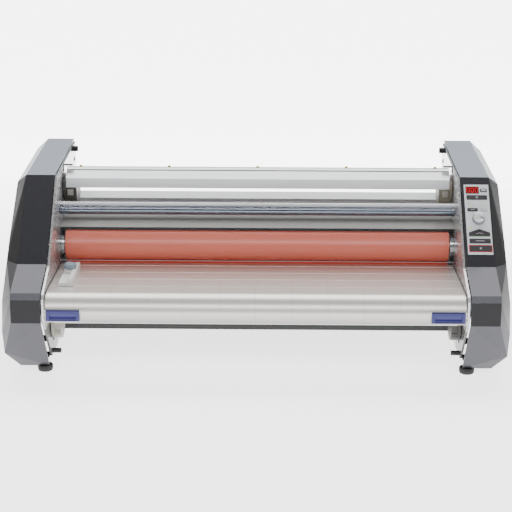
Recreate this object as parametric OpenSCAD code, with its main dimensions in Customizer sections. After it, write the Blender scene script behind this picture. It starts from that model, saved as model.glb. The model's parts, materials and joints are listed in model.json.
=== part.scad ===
// Desktop roll laminator: two side frames carry heated rollers, pull rollers, film supply shafts,
// a hinged clear shield and a feed table that draws out towards the user.
// Axes: X along the rollers, Y from the front to the back, Z up. The origin is on the floor, at the
// middle of the object's box. Points on the side profile are written as [depth behind the nose, height].

/* [Overall] */
// Width over the two side covers
body_w = 900; // [880:1:960]
// Depth from the front nose to the back face
body_d = 505; // [500:1:520]
// Distance between the inner faces of the two frame plates
frame_gap = 740; // [736:1:744]
// Thickness of a frame plate
plate_t = 4; // [3:0.5:4.5]
// Wall of the moulded side covers and caps
wall = 3; // [2.5:0.5:4]

/* [Heat rollers] */
// Height of the line where film and print are pressed together
nip_z = 168; // [167:0.5:169]
// Radius of a heat roller over its silicone sleeve
heat_r = 29.85; // [29.5:0.05:29.9]
// Length of every roller
roller_len = 720; // [700:1:720]

/* [Gears] */
// Gear module
gear_m = 2; // [2]
// Teeth of a heat roller gear
heat_teeth = 30; // [30]
// Teeth of a pull roller gear
pull_teeth = 29; // [29]
// Teeth of the idler gear
idler_teeth = 54; // [52:1:54]
// Teeth of the motor pinion
motor_teeth = 15; // [15]

/* [Film supply] */
// Radius of a supply hub
hub_r = 37; // [35:0.5:37]
// Number of core grip pins on a supply shaft
grip_count = 5; // [3:2:7]

/* [Feed table] */
// Height of the table's flat top
table_z = 166; // [165:0.5:166]
// Depth at which the table ends in front of the rollers
table_back = 228; // [226:1:228]
// Radius of the table's rounded front edge
nose_r = 30; // [25:1:30]

/* [Control panel] */
// Width of the control panel label
panel_w = 45; // [45:0.5:46]
// Length of the control panel label
panel_len = 146; // [146:1:148]
// Travel of a button
button_travel = 0.8; // [0.6:0.1:1]

/* [Hidden] */
$fn = 64;
inner_x = frame_gap / 2;
plate_x = inner_x + plate_t;
cover_x = plate_x + 1;
chamfer_x = body_w / 2 - 23;
outer_x = body_w / 2;
roller_x = roller_len / 2;
back_d = body_d - 2;
fit = 0.05;
gap = 0.35;

// Side profile of a cover on its flat face, then on its outer plane
seam_face = [216, 337];
bend_face = [86, 202];
low_face = [[82, 12], [0, 119], [0, 161], [5, 172.5], bend_face, [back_d, 202], [back_d, 12]];
low_outer = [[51, 46], [35, 94], [49, 147], [110, 202], [back_d - 5, 202], [back_d - 5, 46]];
top_face = [bend_face, seam_face, [490, 353], [back_d, 338], [back_d, 202]];
top_outer = [[110, 202], [144, 233], [252, 316], [back_d - 5, 331], [back_d - 5, 202]];
cap_cut = [seam_face, [252, 316], [back_d + 20, 316], [back_d + 20, 380], [180, 380], [180, 337]];
seam_gap = 0.6;
// Height of the cap's flat top at depth d
function roof_z(d) = seam_face[1] + (d - seam_face[0]) * (353 - seam_face[1]) / (490 - seam_face[0]);

// Axes that run along X, as [depth, height]
upper_heat = [249, nip_z + 30];
lower_heat = [249, nip_z - 30];
pull_r = pull_teeth * gear_m / 2 - 0.15;
upper_pull = [412, nip_z + pull_teeth];
lower_pull = [412, nip_z - pull_teeth];
upper_supply = [312, 300];
lower_supply = [108, 96];
upper_idler = [236, 268];
lower_idler = [196, 98];
shield_hinge = [214, 284];
idler_r = 10.5;
idler_pin_r = 5;
journal_r = 10;
washer_r = 15;
bearing_r = 17;
boss_r = 22.5;
tube_r = 24;
bore_r = 7;
rod_r = 4;
supply_pin_r = 6;
saddle_r = 12;
hinge_rod_r = 3;

// Gear train: pitch radius is module times teeth / 2, and the idler hangs below the line of the rollers
function pitch(teeth) = gear_m * teeth / 2;
reach_a = pitch(heat_teeth) + pitch(idler_teeth);
reach_b = pitch(idler_teeth) + pitch(pull_teeth);
span = norm(lower_pull - lower_heat);
along = (span * span + reach_a * reach_a - reach_b * reach_b) / (2 * span);
drop = sqrt(reach_a * reach_a - along * along);
line_angle = atan2(lower_pull[1] - lower_heat[1], lower_pull[0] - lower_heat[0]);
idler_axis = lower_heat + [along * cos(line_angle) + drop * sin(line_angle),
                           along * sin(line_angle) - drop * cos(line_angle)];
motor_angle = -60;
motor_axis = idler_axis + (pitch(idler_teeth) + pitch(motor_teeth)) * [cos(motor_angle), sin(motor_angle)];
gear_x = plate_x + 8;
gear_t = 12;
shaft_end = gear_x + gear_t + 2;
stud_r = 8;
motor_shaft_r = 5;
motor_x = gear_x + gear_t + 3;

// A gear's turn at which its teeth fit those of the gear before it
function angle_to(a, b) = atan2(b[1] - a[1], b[0] - a[0]);
function mesh_turn(a, b, turn_a, teeth_a, teeth_b) =
    angle_to(a, b) + 180 + ((angle_to(a, b) - turn_a) * teeth_a / 360 + 0.5) * 360 / teeth_b;
upper_turn = 0;
lower_turn = mesh_turn(upper_heat, lower_heat, upper_turn, heat_teeth, heat_teeth);
idler_turn = mesh_turn(lower_heat, idler_axis, lower_turn, heat_teeth, idler_teeth);
lower_pull_turn = mesh_turn(idler_axis, lower_pull, idler_turn, idler_teeth, pull_teeth);
upper_pull_turn = mesh_turn(lower_pull, upper_pull, lower_pull_turn, pull_teeth, pull_teeth);
motor_turn = mesh_turn(idler_axis, motor_axis, idler_turn, idler_teeth, motor_teeth);

// Screws that hold the covers to the frame plates, as [depth, height]
screw_at = [[62, 122], [112, 54], [112, 148], [236, 312], [455, 318], [462, 60]];
foot_at = [91, 430];
tie_at = [[218, 60], [452, 60], [446, 218]];

// Heat deflector: an upright sheet, a lip forward over the roller with a turned-down edge,
// and a flange at the top
deflector_section = [[304, 246], [287, 246], [287, 238], [238, 231.6], [238, 227.6], [239.5, 227.6],
    [239.5, 230.2], [287, 236.4], [287, 184], [289, 184], [289, 244], [304, 244]];

// Table, its guide and its latches
table_x = inner_x - 2;
table_t = 3;
nose_steps = 24;
lip_z = 119;
front_d = 6;
groove_at = [73, 119, 163, 209];
guide_x = -339.8;
guide_w = 25.6;
guide_from = 69;
guide_to = 181;
guide_knob_d = 140;
latch_x = [307, 366];
latch_low = 123;
latch_front = 1;
latch_barrel_r = 1.6;
latch_pin_r = 1;
latch_pin = [front_d - gap - latch_barrel_r, 141];
lug_t = 1.5;

// Control panel on the steep face of the right cover: x from its left edge, s down from its top
face_len = norm(seam_face - bend_face);
face_dir = (seam_face - bend_face) / face_len;
face_angle = atan2(face_dir[1], face_dir[0]);
panel_low = 25;
panel_top = bend_face + face_dir * (panel_low + panel_len);
panel_x = 402 - panel_w / 2;
fascia_t = 1;
window_edge = 1.6;
knob_at = [22.6, 73.7];
knob_skirt_r = 11.35;
knob_cap_r = 9.15;
button_low = -3;
button_top = 1.9;
board_n = -8.5;
heat_button_box = [29.6, 9, 41.4, 15.4];
ready_button_box = [4, 22.7, 41.2, 31.9];
mode_button_box = [4, 50, 22.6, 56.5];
set_button_box = [27.8, 50.5, 39.5, 56];
reverse_button_box = [4, 113.9, 42, 123.1];
stop_button_box = [3.8, 128.1, 42.7, 139.4];
run_outline = [[3.8, 107.9], [41.8, 107.9], [41.8, 101], [22.8, 93.7], [3.8, 101]];
lamp_at = [[33.7, 38], [22, 38], [9.3, 45.4], [7.4, 90.4]];
post_at = [6, 125.6];

// Mains inlet and power rocker on the back of the right cover
inlet_x = 412;
inlet_z = 70;
rocker_z = 112;

// ---- Placing ----

function yz(p) = [p[0] - body_d / 2, p[1]];
function outline(points) = [for (p = points) yz(p)];

// Extrudes a shape drawn as [Y, Z] from x0 to x1
module along_x(x0, x1) {
    translate([x0, 0, 0]) rotate([90, 0, 90]) linear_extrude(x1 - x0) children();
}

// A round bar on the axis at p, from x0 to x1
module bar(p, x0, x1, r) {
    translate([x0, yz(p)[0], p[1]]) rotate([0, 90, 0]) cylinder(h = x1 - x0, r = r);
}

// A box given by its depths and heights
module slab(x0, x1, d0, d1, z0, z1) {
    translate([x0, d0 - body_d / 2, z0]) cube([x1 - x0, d1 - d0, z1 - z0]);
}

module both_sides() {
    children();
    mirror([1, 0, 0]) children();
}

// Places a child on the panel: x to the right, y up the face, z out of it
module on_panel() {
    translate([panel_x, yz(panel_top)[0], panel_top[1]]) rotate([face_angle, 0, 0]) children();
}

// A block on the panel over the box [left, top, right, bottom], grown by g, from height n0 to n1
module panel_block(box, g, n0, n1) {
    on_panel() translate([box[0] - g, -box[3] - g, n0])
        cube([box[2] - box[0] + 2 * g, box[3] - box[1] + 2 * g, n1 - n0]);
}

// ---- Gears ----

function involute(a) = tan(a) * 180 / PI - a;
function half_tooth(teeth, r) =
    let (base = pitch(teeth) * cos(20), slack = 0.17 / pitch(teeth) * 180 / PI)
    90 / teeth - slack + involute(20) - (r > base ? involute(acos(base / r)) : 0);
function tooth_radii(teeth) =
    [for (k = [0 : 3]) max(pitch(teeth) * cos(20), pitch(teeth) - 1.1 * gear_m) * (1 - k / 3)
        + (pitch(teeth) + 0.85 * gear_m) * k / 3];
function gear_points(teeth) =
    let (root = pitch(teeth) - 1.25 * gear_m, radii = tooth_radii(teeth),
         flank = concat([[root, half_tooth(teeth, radii[0])]], [for (r = radii) [r, half_tooth(teeth, r)]]))
    [for (t = [0 : teeth - 1])
        each concat([for (f = flank) f[0] * [cos(t * 360 / teeth - f[1]), sin(t * 360 / teeth - f[1])]],
            [for (k = [len(flank) - 1 : -1 : 0])
                flank[k][0] * [cos(t * 360 / teeth + flank[k][1]), sin(t * 360 / teeth + flank[k][1])]])];

// A gear on the axis at p with a bore, a rim and round lightening holes where it is large
module gear(p, teeth, turn, bore) {
    r = pitch(teeth);
    translate([gear_x, yz(p)[0], p[1]]) rotate([90, 0, 90]) difference() {
        linear_extrude(gear_t) rotate(turn) polygon(gear_points(teeth));
        translate([0, 0, -1]) cylinder(h = gear_t + 2, r = bore);
        if (r > 28) for (side = [-1, gear_t - 3]) translate([0, 0, side]) difference() {
            cylinder(h = 4, r = r - 7);
            translate([0, 0, -1]) cylinder(h = 6, r = bore + 6);
        }
        if (r > 40) for (k = [0 : 5]) rotate(k * 60) translate([r * 0.55, 0, -1])
            cylinder(h = gear_t + 2, r = r * 0.16);
    }
}

// ---- Side frames and covers ----

module frame_plate_right() {
    difference() {
        along_x(inner_x, plate_x) polygon(outline([[88, 29], [7, 121], [7, 160], [10, 168.5],
            [90, 198], [219, 333], [476, 349], [476, 29]]));
        for (p = [upper_heat, lower_heat, upper_pull, lower_pull])
            bar(p, inner_x - 1, plate_x + 1, bearing_r);
        for (p = [upper_supply, lower_supply]) bar(p, inner_x - 1, plate_x + 1, saddle_r);
        for (p = [upper_idler, lower_idler]) bar(p, inner_x - 1, plate_x + 1, idler_pin_r + fit);
        bar(shield_hinge, inner_x - 1, plate_x + 1, hinge_rod_r + fit);
        for (p = screw_at) bar(p, inner_x - 1, plate_x + 1, 2.2);
    }
    // Shelf under the table and flange over the feet, both folded from the plate
    slab(inner_x - 9, inner_x, 62, 218, table_z - table_t - gap - 2, table_z - table_t - gap);
    slab(plate_x, plate_x + 24, 76, 106, 29, 31);
    slab(plate_x, plate_x + 24, 415, 445, 29, 31);
}

module left_frame_plate() {
    color([0.80, 0.81, 0.82]) mirror([1, 0, 0]) frame_plate_right();
}

module right_frame_plate() {
    color([0.80, 0.81, 0.82]) {
        frame_plate_right();
        bar(idler_axis, plate_x, shaft_end, stud_r);
    }
}

// The cover's outer form, drawn in by t on its walls
module cover_form(t, x0) {
    for (part = [[low_face, low_outer], [top_face, top_outer]]) hull() {
        along_x(x0, chamfer_x - t / 2) offset(delta = -t) polygon(outline(part[0]));
        along_x(outer_x - t - 1, outer_x - t) offset(delta = -t) polygon(outline(part[1]));
    }
    if (t > 0) hull() {
        along_x(x0, chamfer_x - t / 2)
            polygon(outline([[105, 190], [back_d - t, 190], [back_d - t, 215], [105, 215]]));
        along_x(outer_x - t - 1, outer_x - t)
            polygon(outline([[118, 190], [back_d - 5 - t, 190], [back_d - 5 - t, 215], [132, 215]]));
    }
}

// A hollow cover, open towards the frame plate and at the bottom
module cover_shell() {
    difference() {
        cover_form(0, cover_x);
        cover_form(wall, cover_x - 1);
        slab(cover_x - 1, chamfer_x, foot_at[0] - 8, back_d - wall, 0, 30);
    }
}

module cover_right() {
    difference() {
        cover_shell();
        along_x(cover_x - 2, outer_x + 1) polygon(outline(cap_cut));
    }
    for (p = screw_at) if (p[1] < 310) difference() {
        bar(p, cover_x, outer_x - wall, 6);
        bar(p, cover_x - 1, cover_x + 20, 2);
    }
}

module cap_right() {
    intersection() {
        cover_shell();
        along_x(cover_x - 2, outer_x + 1) translate([0, seam_gap]) polygon(outline(cap_cut));
    }
    for (p = screw_at) if (p[1] > 310) difference() {
        slab(cover_x, cover_x + 20, p[0] - 6, p[0] + 6, p[1] - 6, roof_z(p[0]) - 1);
        bar(p, cover_x - 1, cover_x + 18, 2);
    }
}

module left_cover() {
    color([0.27, 0.27, 0.30]) mirror([1, 0, 0]) cover_right();
}

module right_cover() {
    color([0.27, 0.27, 0.30]) difference() {
        cover_right();
        on_panel() translate([window_edge, -panel_len + window_edge, -6])
            cube([panel_w - 2 * window_edge, panel_len - 2 * window_edge, 12]);
        slab(inlet_x - 15, inlet_x + 15, back_d - 8, back_d + 1, inlet_z - 12, inlet_z + 12);
        slab(inlet_x - 15, inlet_x + 15, back_d - 8, back_d + 1, rocker_z - 11, rocker_z + 11);
    }
}

module left_cap() {
    color([0.67, 0.71, 0.75]) mirror([1, 0, 0]) cap_right();
}

module right_cap() {
    color([0.67, 0.71, 0.75]) cap_right();
}

// ---- Chassis between the side frames ----

module base_pan() {
    color([0.13, 0.12, 0.11]) {
        slab(-inner_x, inner_x, 200, 470, 44, 46);
        slab(-inner_x, inner_x, 200, 202, 46, 70);
        slab(-inner_x, inner_x, 468, 470, 46, 150);
    }
}

module rear_cover() {
    color([0.78, 0.79, 0.80]) {
        slab(-inner_x, inner_x, 408, 470, 248, 250);
        slab(-inner_x, inner_x, 408, 410, 231, 248);
        slab(-inner_x, inner_x, 468, 470, 184, 248);
    }
}

// Sheet behind the upper heat roller, with a lip that reaches forward over it
module heat_deflector() {
    color([0.62, 0.62, 0.61]) along_x(-inner_x, inner_x) polygon(outline(deflector_section));
}

module tie_bars() {
    color([0.6, 0.6, 0.6]) for (p = tie_at) bar(p, -inner_x, inner_x, 6);
}

// Button-head screws on the inner faces of the plates
module frame_screws() {
    color([0.75, 0.75, 0.76]) both_sides() for (p = screw_at) difference() {
        union() {
            bar(p, inner_x - 2, inner_x, 4);
            bar(p, inner_x, cover_x + 16, 2);
        }
        bar(p, inner_x - 3, inner_x - 0.8, 1.5);
    }
}

module feet() {
    color([0.08, 0.08, 0.08]) both_sides() for (d = foot_at)
        translate([plate_x + 10, d - body_d / 2, 0]) {
            cylinder(h = 3, r1 = 12.5, r2 = 14);
            translate([0, 0, 3]) cylinder(h = 9, r = 14);
            translate([0, 0, 12]) cylinder(h = 17, r = 6);
        }
}

module roller_bearings() {
    color([0.82, 0.83, 0.84]) both_sides()
        for (p = [upper_heat, lower_heat, upper_pull, lower_pull]) difference() {
            union() {
                bar(p, roller_x + 2.5, inner_x, boss_r);
                bar(p, inner_x, plate_x + 2, bearing_r);
            }
            bar(p, roller_x, plate_x + 3, journal_r + fit);
            bar(p, roller_x, roller_x + 5.5, washer_r);
        }
}

module bearing_washers() {
    color([0.80, 0.62, 0.25]) both_sides()
        for (p = [upper_heat, lower_heat, upper_pull, lower_pull]) difference() {
            bar(p, roller_x + 4, roller_x + 5.5, washer_r);
            bar(p, roller_x, roller_x + 7, journal_r + fit);
        }
}

// Nylon saddles that hold the supply shafts' ends, with a keeper finger over the upper shaft
module shaft_saddles() {
    color([0.09, 0.09, 0.10]) both_sides() for (p = [upper_supply, lower_supply]) difference() {
        union() {
            bar(p, inner_x - 1, plate_x + 4, saddle_r);
            if (p == upper_supply) {
                slab(inner_x - 1, inner_x, p[0] - 16, p[0] - 8, p[1] + 26, p[1] + 40);
                slab(inner_x - 18, inner_x, p[0] - 16, p[0] - 8, p[1] + 38, p[1] + 40);
            }
        }
        bar(p, inner_x - 2, plate_x + 5, supply_pin_r + fit);
    }
}

module rest_pegs() {
    color([0.07, 0.07, 0.07]) both_sides() {
        bar([417, 347], inner_x - 13, inner_x, 5.5);
        bar([92, 38], inner_x - 16, inner_x, 4.5);
    }
}

// Halogen heater rods on fixed end brackets, through the hollow heat rollers
module heater_rods() {
    color([0.85, 0.82, 0.75]) {
        for (p = [upper_heat, lower_heat]) bar(p, -shaft_end - 3, shaft_end + 3, rod_r);
        both_sides() {
            along_x(shaft_end + 3, shaft_end + 5) polygon(outline([[196, 160], [196, 176], [244, 204],
                [254, 204], [254, 132], [244, 132]]));
            bar([202, nip_z], plate_x, shaft_end + 3, 4);
        }
    }
}

module drive_motor() {
    color([0.30, 0.31, 0.33]) difference() {
        union() {
            bar(motor_axis, motor_x, motor_x + 3, 31);
            bar(motor_axis, motor_x, motor_x + 38, 25);
            bar(motor_axis + [26, -10], plate_x, motor_x, 3.5);
            bar(motor_axis + [-20, -24], plate_x, motor_x, 3.5);
        }
        bar(motor_axis, motor_x - 1, motor_x + 12, motor_shaft_r + fit);
    }
}

module mains_inlet() {
    color([0.10, 0.10, 0.11]) {
        difference() {
            union() {
                slab(inlet_x - 18, inlet_x + 18, back_d, body_d, inlet_z - 15, rocker_z + 14);
                slab(inlet_x - 14, inlet_x + 14, back_d - 28, back_d, inlet_z - 11, inlet_z + 11);
                slab(inlet_x - 14, inlet_x + 14, back_d - 20, back_d, rocker_z - 10, rocker_z + 10);
            }
            slab(inlet_x - 12, inlet_x + 12, back_d - 20, body_d + 1, inlet_z - 8, inlet_z + 8);
            slab(inlet_x - 11.5, inlet_x + 11.5, back_d - 12, body_d + 1, rocker_z - 8, rocker_z + 8);
        }
        for (x = [-7, 0, 7]) slab(inlet_x + x - 1, inlet_x + x + 1, back_d - 20, back_d - 6,
            inlet_z - 2 + (x == 0 ? 3 : -2), inlet_z + 2 + (x == 0 ? 3 : -2));
    }
}

// ---- Control panel ----

module panel_fascia() {
    color([0.83, 0.84, 0.84]) difference() {
        on_panel() translate([0, -panel_len, 0.1]) cube([panel_w, panel_len, fascia_t - 0.1]);
        for (box = [heat_button_box, ready_button_box, mode_button_box, set_button_box,
                reverse_button_box, stop_button_box]) panel_block(box, gap, -1, 3);
        run_prism(gap, -1, 3);
        on_panel() translate([knob_at[0], -knob_at[1], -1]) cylinder(h = 4, r = 4);
    }
}

module display_window() {
    color([0.05, 0.03, 0.03]) panel_block([2.9, 4.6, 27.1, 19.2], 0, fascia_t, fascia_t + 0.8);
}

module indicator_lamps() {
    color([0.45, 0.85, 0.25]) on_panel() for (p = lamp_at)
        translate([p[0], -p[1], fascia_t]) cylinder(h = 0.7, r = 1.3);
}

// Circuit board behind the fascia, with posts, switch bodies and the speed control
module control_board() {
    color([0.10, 0.35, 0.20]) difference() {
        union() {
            on_panel() translate([4, -panel_len + 4, board_n]) cube([panel_w - 8, panel_len - 8, 1.6]);
            on_panel() for (x = [5.5, panel_w - 5.5], s = post_at)
                translate([x, -s, board_n]) cylinder(h = -board_n + 0.1, r = 1.5);
            on_panel() translate([knob_at[0], -knob_at[1], board_n]) cylinder(h = 6, r = 7);
            for (s = [12, 27, 53, 101, 118, 134])
                panel_block([20, s - 2, 25, s + 2], 0, board_n, board_n + 4);
        }
        on_panel() translate([knob_at[0], -knob_at[1], board_n - 1]) cylinder(h = 9, r = 3 + fit);
    }
}

module speed_knob() {
    color([0.80, 0.80, 0.82]) on_panel() translate([knob_at[0], -knob_at[1], 0]) {
        translate([0, 0, board_n + 1.8]) cylinder(h = -board_n, r = 3);
        difference() {
            union() {
                translate([0, 0, fascia_t + 0.4]) cylinder(h = 5, r = knob_skirt_r);
                translate([0, 0, fascia_t + 5.4]) cylinder(h = 8, r = knob_cap_r);
            }
            rotate(-35) translate([knob_cap_r - 5, -0.9, fascia_t + 12.6]) cube([8, 1.8, 2]);
        }
    }
}

module button(box) {
    color([0.30, 0.29, 0.31]) panel_block(box, 0, button_low, button_top);
}

module run_prism(g, n0, n1) {
    on_panel() translate([0, 0, n0]) linear_extrude(n1 - n0) offset(delta = g)
        polygon([for (p = run_outline) [p[0], -p[1]]]);
}

module heat_button() { button(heat_button_box); }
module ready_button() { button(ready_button_box); }
module mode_button() { button(mode_button_box); }
module set_button() { button(set_button_box); }
module reverse_button() { button(reverse_button_box); }
module stop_button() { button(stop_button_box); }
module run_button() {
    color([0.30, 0.29, 0.31]) run_prism(0, button_low, button_top);
}

// The mains rocker, scooped and tilting on a pin
module power_rocker() {
    color([0.06, 0.06, 0.06]) {
        difference() {
            slab(inlet_x - 11.1, inlet_x + 11.1, back_d - 9, body_d, rocker_z - 6.6, rocker_z + 6.6);
            bar([body_d + 26, rocker_z], inlet_x - 20, inlet_x + 20, 27);
        }
        bar([back_d - 5, rocker_z], inlet_x - 11.4, inlet_x + 11.4, 1.5);
    }
}

// ---- Rollers ----

// A hollow roller body with journals; only the right journal is long enough for a gear
module roller_core(p) {
    difference() {
        union() {
            bar(p, -roller_x, roller_x, tube_r);
            bar(p, -plate_x - 4, shaft_end, journal_r);
        }
        bar(p, -roller_x - 30, shaft_end + 1, bore_r);
    }
}

module sleeve(p, r) {
    difference() {
        bar(p, -roller_x, roller_x, r);
        bar(p, -roller_x - 1, roller_x + 1, tube_r);
    }
}

module upper_roller_tube() { color([0.78, 0.79, 0.80]) roller_core(upper_heat); }
module upper_roller_sleeve() { color([0.90, 0.52, 0.45]) sleeve(upper_heat, heat_r); }
module upper_roller_gear() { color([0.35, 0.35, 0.36]) gear(upper_heat, heat_teeth, upper_turn, journal_r); }
module lower_roller_tube() { color([0.78, 0.79, 0.80]) roller_core(lower_heat); }
module lower_roller_sleeve() { color([0.90, 0.52, 0.45]) sleeve(lower_heat, heat_r); }
module lower_roller_gear() { color([0.35, 0.35, 0.36]) gear(lower_heat, heat_teeth, lower_turn, journal_r); }

module upper_pull_core() {
    color([0.70, 0.71, 0.72]) {
        roller_core(upper_pull);
        gear(upper_pull, pull_teeth, upper_pull_turn, journal_r - 0.5);
    }
}
module upper_pull_sleeve() { color([0.16, 0.16, 0.17]) sleeve(upper_pull, pull_r); }
module lower_pull_core() {
    color([0.70, 0.71, 0.72]) {
        roller_core(lower_pull);
        gear(lower_pull, pull_teeth, lower_pull_turn, journal_r - 0.5);
    }
}
module lower_pull_sleeve() { color([0.16, 0.16, 0.17]) sleeve(lower_pull, pull_r); }

module idler_gear() { color([0.85, 0.83, 0.78]) gear(idler_axis, idler_teeth, idler_turn, stud_r + fit); }

module motor_gear() {
    color([0.65, 0.63, 0.55]) {
        gear(motor_axis, motor_teeth, motor_turn, motor_shaft_r - 1);
        bar(motor_axis, gear_x, motor_x + 10, motor_shaft_r);
    }
}

// ---- Film supply and idler bars ----

roof_half = 28.5;
ridge_half = 4;
ridge_h = 33;
eaves_h = 16;
skirt_h = -2;
flange_h = 14;
sheet_t = 3;
mandrel_x = inner_x - 6;
hub_end = inner_x - 1.5;
upper_hub_x = 344;
lower_hub_x = 352;
grip_x = 338;
key_x = [350, 362];
key_z = [-17.5, -5];

// Inside of the supply shaft's channel
module channel_inside() {
    polygon([[-roof_half + sheet_t, skirt_h - 1], [-roof_half + sheet_t, eaves_h - 1.6],
        [-ridge_half, ridge_h - sheet_t], [ridge_half, ridge_h - sheet_t],
        [roof_half - sheet_t, eaves_h - 1.6], [roof_half - sheet_t, skirt_h - 1]]);
}

// Section of the supply shaft: a roof-shaped aluminium channel with a groove along its front slope
module roof_section() {
    difference() {
        polygon([[-roof_half, skirt_h], [-roof_half, eaves_h], [-ridge_half, ridge_h], [ridge_half, ridge_h],
            [roof_half, eaves_h], [roof_half, skirt_h]]);
        channel_inside();
        translate([-ridge_half - 6, ridge_h - 4.1]) rotate(34.8) square([1.8, 3], center = true);
    }
}

// Section of a hub: it fills the channel and stands out below it, down to the hub's round
module hub_section() {
    intersection() {
        circle(r = hub_r);
        union() {
            channel_inside();
            translate([-roof_half, -hub_r]) square([2 * roof_half, hub_r + skirt_h]);
        }
    }
}

// Section of the flange at a hub's outer end
module flange_section() {
    intersection() {
        circle(r = hub_r);
        translate([-hub_r, -hub_r]) square([2 * hub_r, hub_r + flange_h]);
    }
}

module supply_shaft(p) {
    translate([0, yz(p)[0], p[1]]) along_x(-mandrel_x, mandrel_x) roof_section();
}

// Hubs at both ends of a supply shaft, with a key slot in the front and back of each, and their pins
module supply_hubs(p, hub_x) {
    both_sides() {
        translate([0, yz(p)[0], p[1]]) {
            difference() {
                along_x(hub_x, mandrel_x) hub_section();
                for (y = [-roof_half, roof_half]) translate([key_x[0], y - 1.5, key_z[0]])
                    cube([key_x[1] - key_x[0], 3, key_z[1] - key_z[0]]);
            }
            along_x(mandrel_x, hub_end) flange_section();
        }
        bar(p, hub_end, plate_x + 4, supply_pin_r);
    }
}

module core_grips(p) {
    for (k = [0 : grip_count - 1])
        translate([(2 * k / (grip_count - 1) - 1) * grip_x, yz(p)[0], p[1] + ridge_h])
            cylinder(h = 3.6, r = 3);
}

module upper_supply_shaft() { color([0.88, 0.89, 0.90]) supply_shaft(upper_supply); }
module upper_supply_hubs() { color([0.28, 0.27, 0.25]) supply_hubs(upper_supply, upper_hub_x); }
module upper_core_grips() { color([0.72, 0.58, 0.30]) core_grips(upper_supply); }
module lower_supply_shaft() {
    color([0.88, 0.89, 0.90]) {
        supply_shaft(lower_supply);
        core_grips(lower_supply);
    }
}
module lower_supply_hubs() { color([0.28, 0.27, 0.25]) supply_hubs(lower_supply, lower_hub_x); }

module idler_bar(p) {
    bar(p, -inner_x + 2, inner_x - 2, idler_r);
    bar(p, -plate_x - 3, plate_x + 3, idler_pin_r);
}

module upper_idler_bar() { color([0.60, 0.64, 0.70]) idler_bar(upper_idler); }
module lower_idler_bar() { color([0.60, 0.64, 0.70]) idler_bar(lower_idler); }

// ---- Shield ----

shield_x = inner_x - 2;
shield_path = [[-6, -4], [-10.5, -13], [-13, -32], [-14.5, -60], [-15, -84], [-14, -106]];
shield_t = 2.6;

// A curved clear sheet that hangs from its rod in front of the upper roller
module shield_panel() {
    color([0.85, 0.90, 0.92, 0.35]) translate([0, yz(shield_hinge)[0], shield_hinge[1]])
        rotate([90, 0, 90]) difference() {
            linear_extrude(2 * shield_x, center = true) polygon(concat(
                [[-2, 6]], [for (p = shield_path) p],
                [for (k = [len(shield_path) - 1 : -1 : 0]) shield_path[k] + [shield_t, k == 5 ? 0 : 1]],
                [[3, -5], [6, 0], [3, 5]]));
            translate([0, 0, -shield_x - 1]) cylinder(h = 2 * shield_x + 2, r = hinge_rod_r);
        }
}

module shield_rod() { color([0.80, 0.81, 0.82]) bar(shield_hinge, -plate_x - 3, plate_x + 3, hinge_rod_r); }

// ---- Feed table ----

// Points of the rounded nose at radius r, from its front to its top
function nose_arc(r) = [for (k = [0 : nose_steps]) let (a = 180 - 90 * k / nose_steps)
    [front_d + nose_r + r * cos(a), table_z - nose_r + r * sin(a)]];

// Section of the table: flat top, rounded nose and a lip folded back underneath
module table_section() {
    nose_in = nose_arc(nose_r - table_t);
    difference() {
        polygon(outline(concat([[front_d + 24, lip_z], [front_d, lip_z]], nose_arc(nose_r),
            [[table_back, table_z], [table_back, table_z - table_t]],
            [for (k = [nose_steps : -1 : 0]) nose_in[k]],
            [[front_d + table_t, lip_z + table_t], [front_d + 24, lip_z + table_t]])));
        for (d = groove_at) translate(yz([d, table_z])) square([1.6, 1.4], center = true);
    }
}

// The table with a pair of lugs that hold each latch's pin
module table_plate() {
    color([0.80, 0.79, 0.77]) {
        along_x(-table_x, table_x) table_section();
        both_sides() difference() {
            for (x = [latch_x[0] - gap - lug_t, latch_x[1] + gap])
                slab(x, x + lug_t, latch_pin[0] - 1.8, front_d + 1, latch_pin[1] - 2, latch_pin[1] + 2);
            bar(latch_pin, latch_x[0] - 3, latch_x[1] + 3, latch_pin_r + fit);
        }
    }
}

// A latch with a scooped finger recess, hinged on a pin along its top edge
module latch() {
    difference() {
        slab(latch_x[0], latch_x[1], latch_front, front_d - gap, latch_low, latch_pin[1]);
        bar([latch_front - 8, latch_low + 8], latch_x[0] + 6, latch_x[1] - 6, 10.5);
    }
    bar(latch_pin, latch_x[0], latch_x[1], latch_barrel_r);
    bar(latch_pin, latch_x[0] - gap - lug_t, latch_x[1] + gap + lug_t, latch_pin_r);
}

module latch_left() { color([0.14, 0.14, 0.58]) mirror([1, 0, 0]) latch(); }
module latch_right() { color([0.14, 0.14, 0.58]) latch(); }

module side_guide() {
    right = guide_x + guide_w / 2;
    color([0.94, 0.94, 0.93]) difference() {
        union() {
            slab(right - guide_w, right, guide_from, guide_to, table_z + gap, table_z + 7);
            slab(right - 8, right, guide_from, guide_to, table_z + 7, table_z + 14);
            translate([guide_x, guide_knob_d - body_d / 2, table_z + 7]) cylinder(h = 6, r = 9);
        }
        translate([guide_x, guide_knob_d - body_d / 2, table_z + 2]) cylinder(h = 20, r = 2.5 + fit);
    }
}

module guide_knob() {
    color([0.58, 0.64, 0.70]) translate([guide_x, guide_knob_d - body_d / 2, table_z]) {
        translate([0, 0, 4]) cylinder(h = 12, r = 2.5);
        difference() {
            translate([0, 0, 14.4]) cylinder(h = 9, r = 11);
            for (k = [0 : 17]) rotate(k * 20) translate([11.6, 0, 14]) cylinder(h = 12, r = 1.2);
        }
    }
}

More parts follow.
